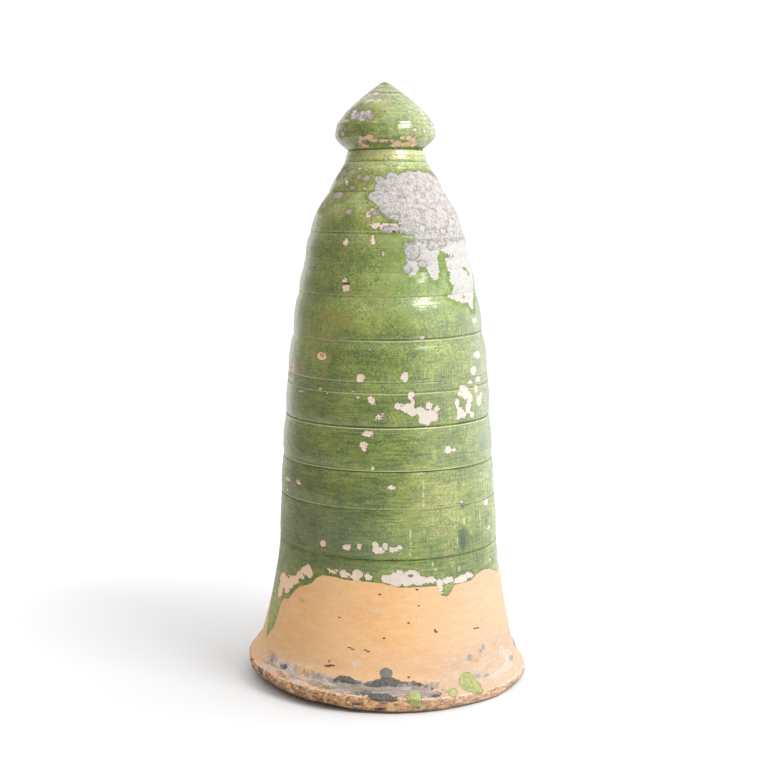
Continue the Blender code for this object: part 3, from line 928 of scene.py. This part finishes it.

# Buff clay with turning lines, dark specks and a few scuffs. To the right it is pinker and paler, and this
# is painted haze from the light on that side.
clay = blend(flecks(-0.6, 0.6, 60, 3, 0.55, shift=15), (0.65, 0.385, 0.175), (0.63, 0.35, 0.145))
low_clay = blend(ramp(side_turn, 0, 40), (0.43, 0.285, 0.19), (0.4, 0.3, 0.232))
rust_mask = broken_edge(fine_marks(RUST_SPOTS), 0.9, 0.9, 0.9)
brushed = flecks(-0.3, 0.7, 4.5, 4, 0.65, along=0.2, shift=16)
dust = both(ramp(height_here, 40, 110, 1, 0.15), ramp(side_turn, -30, 35, 0.4, 1))
dust = both(dust, flecks(0, 0.5, 2.6, 4, 0.8, shift=49))
scuffed = both(broken_edge(mark("scuff"), 1.3, 1.3, 0.9), flecks(-0.5, 0.3, 3.4, 4, 0.8, shift=54))
clay = layered(
    clay,
    # Painted haze: paler and pinker to the right.
    (ramp(side_turn, 0, 50, 0, 0.85), 1, (0.535, 0.352, 0.24)),
    (both(ramp(height_here, 30, 95, 1, 0), ramp(side_turn, 0, 40, 0.35, 0.8)), 1, low_clay),
    (rust_mask, 0.6, (0.44, 0.22, 0.07)),
    (brushed, 0.4, (0.66, 0.45, 0.27)),
    (flecks(0.2, 0.9, 6, 4, 0.7, shift=17), 0.45, (0.5, 0.27, 0.13)),
    (flecks(0.5, 0.85, 1.5, 2, 0.6, shift=18), 0.5, (0.27, 0.135, 0.065)),
    (flecks(0.5, 0.9, 2.2, 2, 0.6, shift=32), 0.4, (0.7, 0.55, 0.42)),
    (dust, 0.5, (0.4, 0.31, 0.255)),
    (scuffed, 0.6, (0.54, 0.47, 0.42)),
)

# Along the rim's crease the clay carries a streaky grey film, and the rim below it is stained. A pale line
# along the crease is a painted highlight, and the rim's foot is darkened by a painted contact shadow.
crease_place = tree.nodes.new("ShaderNodeCombineXYZ")
plug(crease_place.inputs["X"], place_parts.outputs["X"])
plug(crease_place.inputs["Y"], place_parts.outputs["Y"])
plug(crease_place.inputs["Z"], more(mark("over_crease"), MM))
along_crease = crease_place.outputs[0]
film_tone = flecks(-0.5, 0.5, 2.6, 3, 0.7, along=0.07, shift=39, where=along_crease)
film_colour = blend(film_tone, (0.12, 0.115, 0.113), (0.46, 0.425, 0.41))
film_area = broken_edge(mark("film"), 3.5, 3.5, 1.8, shrink=0.8)
film_gaps = flecks(-0.35, 0.15, 4.5, 5, 0.85, along=0.35, shift=19, where=along_crease)
film = both(film_area, either(film_gaps, ramp(side_turn, -32, -20, 0, 0.95)))
film_specks = both(film_area, flecks(0.3, 0.6, 3, 4, 0.8, along=0.5, shift=33))
rim_colour = blend(ramp(side_turn, -20, 40), (0.72, 0.385, 0.165), (0.57, 0.36, 0.225))
blotches = both(mark("rim"), flecks(-0.3, 0.3, 9, 4, 0.75, along=0.6, shift=44, where=along_crease))
blotches = both(blotches, ramp(side_turn, -30, 25, 0.65, 0.3))
stained = both(mark("rim"), ramp(side_turn, -20, 30, 1, 0.55))
rim_stain = both(stained, flecks(-0.1, 0.4, 6.5, 5, 0.85, along=0.35, shift=20, where=along_crease))
rim_flecks = both(mark("rim"), flecks(0.15, 0.4, 3.6, 4, 0.8, along=0.5, shift=34))
rim_pits = both(stained, flecks(0.2, 0.45, 3.6, 4, 0.75, along=0.5, shift=35))
# Painted highlight: a pale broken line along the crease's edge.
painted_arris_highlight = both(close_to(mark("over_crease"), 0.3, 1.2), ramp(lumpy, -0.4, 0.3))
film_colour = blend(ramp(side_turn, -34, -14, 0, 0.65), film_colour, (0.112, 0.122, 0.128))
clay = layered(
    clay,
    (film, 0.8, film_colour),
    (film_specks, 0.8, (0.08, 0.072, 0.066)),
    (mark("rim"), 0.85, rim_colour),
    (blotches, 1, (0.19, 0.128, 0.082)),
    (rim_stain, 0.7, (0.2, 0.092, 0.042)),
    (rim_flecks, 0.7, (0.76, 0.53, 0.35)),
    (rim_pits, 0.8, (0.06, 0.042, 0.03)),
    # Painted highlight along the crease.
    (painted_arris_highlight, 0.5, (0.76, 0.64, 0.52)),
    # Painted contact shadow along the rim's foot.
    (mark("painted_contact_shadow"), 0.65, (0.12, 0.066, 0.042)),
)

# Grey lichen with pale and dark flecks in it, darker round its rim. It grows in small round cushions.
cushion = tree.nodes.new("ShaderNodeTexVoronoi")
plug(cushion.inputs["Vector"], surface_place)
cushion.inputs["Scale"].default_value = 1 / (6.5 * MM)
cushion_rim = calc("MULTIPLY_ADD", ragged, 0.1, cushion.outputs["Distance"])
lichen = blend(flecks(-0.5, 0.5, 9, 5, 0.75, shift=21), (0.225, 0.21, 0.205), (0.36, 0.342, 0.33))
small_cushions = ramp(side_turn, -22, -14, 0.7, 0)
lichen = layered(
    lichen,
    (ramp(cushion_rim, 0.35, 0.65), 0.45, (0.48, 0.455, 0.43)),
    (flecks(0.1, 0.4, 2.6, 3, 0.75, shift=22), 0.75, (0.51, 0.475, 0.44)),
    (flecks(0.15, 0.45, 1.8, 3, 0.75, shift=23), 0.7, (0.13, 0.117, 0.11)),
    (flecks(0.35, 0.7, 2.2, 3, 0.7, shift=40), 0.7, (0.6, 0.5, 0.43)),
    (both(small_cushions, without(on_knob)), 1, (0.33, 0.262, 0.225)),
    (both(on_knob, flecks(-0.1, 0.3, 3.4, 4, 0.8, along=0.6, shift=52)), 1, (0.64, 0.55, 0.51)),
    (both(on_knob, flecks(0.1, 0.4, 2.6, 3, 0.75, shift=53)), 1, (0.085, 0.085, 0.055)),
)

# Where each skin shows, with its edge broken up.
chip_depth = either(mark("chipped"), fine_marks(SMALL_CHIPS))
chip_mask = broken_edge(chip_depth, 1.1, 1.3, shrink=0.4)
patch_mask = broken_edge(mark("patch"), 1.6, 1.6)
bare_mask = broken_edge(mark("bare_clay"), 0.35, 0.25, 0.25)
lichen_mask = both(broken_edge(mark("lichen"), 1.8, 2.2, 0.5), patch_mask)
worn_through = both(ramp(mark("patch"), 0.3, 2), flecks(0.45, 0.75, 3.2, 4, 0.75, shift=41))
lichen_mask = both(lichen_mask, without(more(worn_through, 0.85)))
lichen_rim = both(lichen_mask, ramp(calc("MULTIPLY_ADD", ragged, 0.5, mark("lichen")), 0.3, 1.2, 1, 0))
lichen_ring = both(broken_edge(mark("lichen"), 1.8, 2.2, 0.4, shrink=-1), without(lichen_mask))
red_mask = broken_edge(mark("red_clay"), 1.2, 1.2, shrink=0.2)
crust_mask = broken_edge(mark("crust"), 0.7, 0.5, 0.4)
drop_mask = broken_edge(mark("drop"), 0.6, 0.35, 0.2)
scratch_mask = broken_edge(fine_marks(SCRATCHES), 0.15, 0.25, 0.15)
no_glaze = either(chip_mask, patch_mask, bare_mask, red_mask)

# The glaze is darkest at its broken edge, and the drops where they end. The skins are then laid over
# each other, with the crust, the drops and the scratches last.
glaze_edge = either(
    broken_edge(chip_depth, 1.1, 1.3, 0.35, shrink=-0.5),
    broken_edge(mark("bare_clay"), 0.35, 0.25, 0.4, shrink=-1),
)
glaze = blend(more(glaze_edge, 0.5), glaze, (0.03, 0.045, 0.012))
seam = blend(flecks(-0.4, 0.5, 4, 3, 0.7, shift=24), (0.64, 0.37, 0.2), (0.6, 0.46, 0.33))
seam = blend(ramp(height_here, 500, 640, 0.85, 0), seam, (0.52, 0.19, 0.08))
crust = blend(flecks(-0.6, 0.8, 3, 3, 0.7, shift=25), (0.036, 0.039, 0.042), (0.108, 0.112, 0.116))
at_the_side = both(ramp(side_turn, 18, 36, 0, 0.8), close_to(turn_here, 70, 95, 1, 0.4))
crust = layered(
    crust,
    (ramp(height_here, 40, 43, 0, 0.5), 1, (0.2, 0.19, 0.184)),
    (ramp(mark("crust"), 0.2, 1.3, 0.6, 0), 1, (0.045, 0.042, 0.04)),
    (at_the_side, 1, (0.29, 0.28, 0.28)),
)
crust_gaps = ramp(grain(2.4, 3, 0.7, shift=48), 0.35, 0.6, 1, 0.35)
crust_gaps = either(crust_gaps, ramp(height_here, 27, 32))
drip = blend(flecks(-0.7, 0.7, 4, 3, 0.6, shift=26), (0.33, 0.33, 0.11), (0.205, 0.22, 0.06))
drip = blend(ramp(mark("drop"), 0.2, 1.4, 0.5, 0), drip, (0.055, 0.085, 0.02))
wiped = both(film_area, flecks(0.25, 0.6, 1.5, 2, 0.6, along=0.05, shift=45, where=along_crease))
wiped = both(wiped, ramp(mark("over_crease"), 0.5, 2))
colour = layered(
    glaze,
    (either(chip_mask, patch_mask), 1, slip),
    (lichen_mask, 1, lichen),
    (lichen_rim, 0.6, (0.15, 0.132, 0.122)),
    (lichen_ring, 0.6, (0.1, 0.08, 0.058)),
    (bare_mask, 1, clay),
    (red_mask, 1, seam),
    (both(crust_mask, crust_gaps), 0.92, crust),
    (drop_mask, 1, drip),
    (wiped, 0.4, (0.52, 0.49, 0.48)),
    (scratch_mask, 0.93, (0.045, 0.026, 0.018)),
)
plug(shader.inputs["Base Color"], colour)

# Only the glaze is glossy, less so beside a groove, close to the patch and low on the left.
near_patch = ramp(mark("patch"), -8.8, -4, 1, 0.25)
glossy = either(both(without(no_glaze), near_patch), more(drop_mask, 0.45))
glossy = both(glossy, without(either(scratch_mask, crust_mask)))
beside_line = both(mark("line_strength"), close_to(mark("from_line"), 0.8, 2.4, 0.7))
dull_low_down = both(ramp(side_turn, -70, 5, 0.75, 0.35), ramp(height_here, 170, 380, 1, 0.3))
glossy = both(both(glossy, without(beside_line)), without(dull_low_down))
plug(shader.inputs["Roughness"], ramp(glossy, 0, 1, 0.85, 0.5))
plug(shader.inputs["Coat Weight"], glossy)
shader.inputs["Coat Roughness"].default_value = 0.1
shader.inputs["Coat IOR"].default_value = 1.65
shader.inputs["IOR"].default_value = 1.45

# Skin relief in millimetres: flaked edges, gritty clay, crusty lichen and rippled glaze.
grit = more(grain(1.6, 4, 0.7, shift=27), 0.09)
crusty = more(calc("ADD", grain(2.6, 4, 0.75, shift=28), 0.6), 0.2)
ring_marks = more(grain(2.4, 3, 0.6, along=0.1, shift=29), 0.025)
peel = more(grain(4, 3, 0.6, shift=30), 0.05)
bared_mask = either(chip_mask, patch_mask, red_mask)
skin = blend(no_glaze, total(ring_marks, peel), total(grit, ring_marks))
skin = total(
    skin,
    more(bared_mask, -0.35),
    both(either(lichen_mask, crust_mask), crusty),
    more(both(mark("rim"), crusty), 1.3),
    more(rim_pits, -0.6),
    more(scratch_mask, -0.5),
    more(drop_mask, 0.4),
    more(bare_mask, -0.2),
    more(line_depth, -0.35),
)
bump = tree.nodes.new("ShaderNodeBump")
bump.inputs["Distance"].default_value = MM
plug(bump.inputs["Height"], skin)
plug(shader.inputs["Normal"], bump.outputs[0])
plug(shader.inputs["Coat Normal"], bump.outputs[0])
finial_mesh.materials.append(finish)

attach(finial, "root")
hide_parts("roof_finial")


# Studio floor. A wide round sheet of matt white paper lies flat, and the finial stands on its middle.
# It takes the shadow, and its colour is painted whiter farther out, as painted light, so it looks brighter
# there.

FLOOR_RADIUS = 1.6
floor_mesh = bpy.data.meshes.new("studio_floor")
angles = np.linspace(0, math.tau, 97)[:-1]
corners = [(FLOOR_RADIUS * math.cos(a), FLOOR_RADIUS * math.sin(a), 0.0) for a in angles]
floor_mesh.from_pydata(corners, [], [list(range(len(corners)))])
floor = bpy.data.objects.new("studio_floor", floor_mesh)
bpy.context.scene.collection.objects.link(floor)
paper = bpy.data.materials.new("white_paper")
paper.use_nodes = True
tree = paper.node_tree
sheet = tree.nodes["Principled BSDF"]
from_middle = tree.nodes.new("ShaderNodeVectorMath")
from_middle.operation = "LENGTH"
plug(from_middle.inputs[0], tree.nodes.new("ShaderNodeTexCoord").outputs["Object"])
# Painted light: the paper's colour grows paler away from the middle.
painted_light_outward = ramp(from_middle.outputs["Value"], 0.35, 1.3)
plug(sheet.inputs["Base Color"], blend(painted_light_outward, (0.57, 0.57, 0.575), (0.80, 0.80, 0.80)))
sheet.inputs["Roughness"].default_value = 0.9
sheet.inputs["Specular IOR Level"].default_value = 0.1
floor_mesh.materials.append(paper)


# Studio light. One large soft box stands to the front right, above the finial, in a white room
# whose walls are brighter behind and to the right than in front.

BOX_TURN = 52.0
BOX_RISE = 38.0
BOX_DISTANCE = 2.6
BOX_WIDTH = 1.25
BOX_HEIGHT = 1.15
BOX_POWER = 52.0
AIM_HEIGHT = 0.45
box_light = bpy.data.lights.new("soft_box", "AREA")
box_light.shape = "RECTANGLE"
box_light.size = BOX_WIDTH
box_light.size_y = BOX_HEIGHT
box_light.energy = BOX_POWER
soft_box = bpy.data.objects.new("soft_box", box_light)
flat = BOX_DISTANCE * math.cos(math.radians(BOX_RISE))
soft_box.location = (
    flat * math.sin(math.radians(BOX_TURN)),
    -flat * math.cos(math.radians(BOX_TURN)),
    AIM_HEIGHT + BOX_DISTANCE * math.sin(math.radians(BOX_RISE)),
)
soft_box.rotation_euler = (math.radians(90.0 - BOX_RISE), 0.0, math.radians(BOX_TURN))
soft_box.visible_camera = False
bpy.context.scene.collection.objects.link(soft_box)

room = bpy.data.worlds.new("white_room")
bpy.context.scene.world = room
room.use_nodes = True
tree = room.node_tree
direction = tree.nodes.new("ShaderNodeTexCoord").outputs["Generated"]
split = tree.nodes.new("ShaderNodeSeparateXYZ")
plug(split.inputs[0], direction)
behind = both(ramp(split.outputs["Y"], 0.1, 0.8, 0.0, 0.42), ramp(split.outputs["X"], -1.0, -0.2, 0.5, 1.0))
behind = calc("ADD", behind, ramp(split.outputs["X"], -1.0, 0.2, 0.32, 0.45))
far_left = both(ramp(split.outputs["Y"], 0.45, 0.9), ramp(split.outputs["X"], -0.5, -0.2, 0.6, 0.0))
behind = calc("ADD", behind, far_left)
beside = ramp(split.outputs["X"], 0.2, 1.0, 0.0, 1.6)
above = ramp(split.outputs["Z"], 0.25, 1.0, 0.0, 1.4)
brightness = calc("ADD", calc("ADD", behind, beside), above)
seen = tree.nodes.new("ShaderNodeLightPath").outputs["Is Camera Ray"]
plug(tree.nodes["Background"].inputs["Color"], (1.0, 1.0, 1.0, 1.0))
plug(tree.nodes["Background"].inputs["Strength"], ramp(seen, 0.0, 1.0, brightness, 1.05))


# Camera. It stands on a tripod 1.9 metres in front of the finial, with its lens a little above the
# middle of the body, and looks 8 degrees down.

camera_data = bpy.data.cameras.new("studio_camera")
camera_data.sensor_width = 36.0
camera_data.lens = 70.3125
camera = bpy.data.objects.new("studio_camera", camera_data)
camera.location = (-0.0040, -1.8915, 0.6385)
camera.rotation_euler = (math.radians(82.0), 0.0, 0.0)
bpy.context.scene.collection.objects.link(camera)
bpy.context.scene.camera = camera
bpy.context.scene.view_settings.view_transform = "Standard"
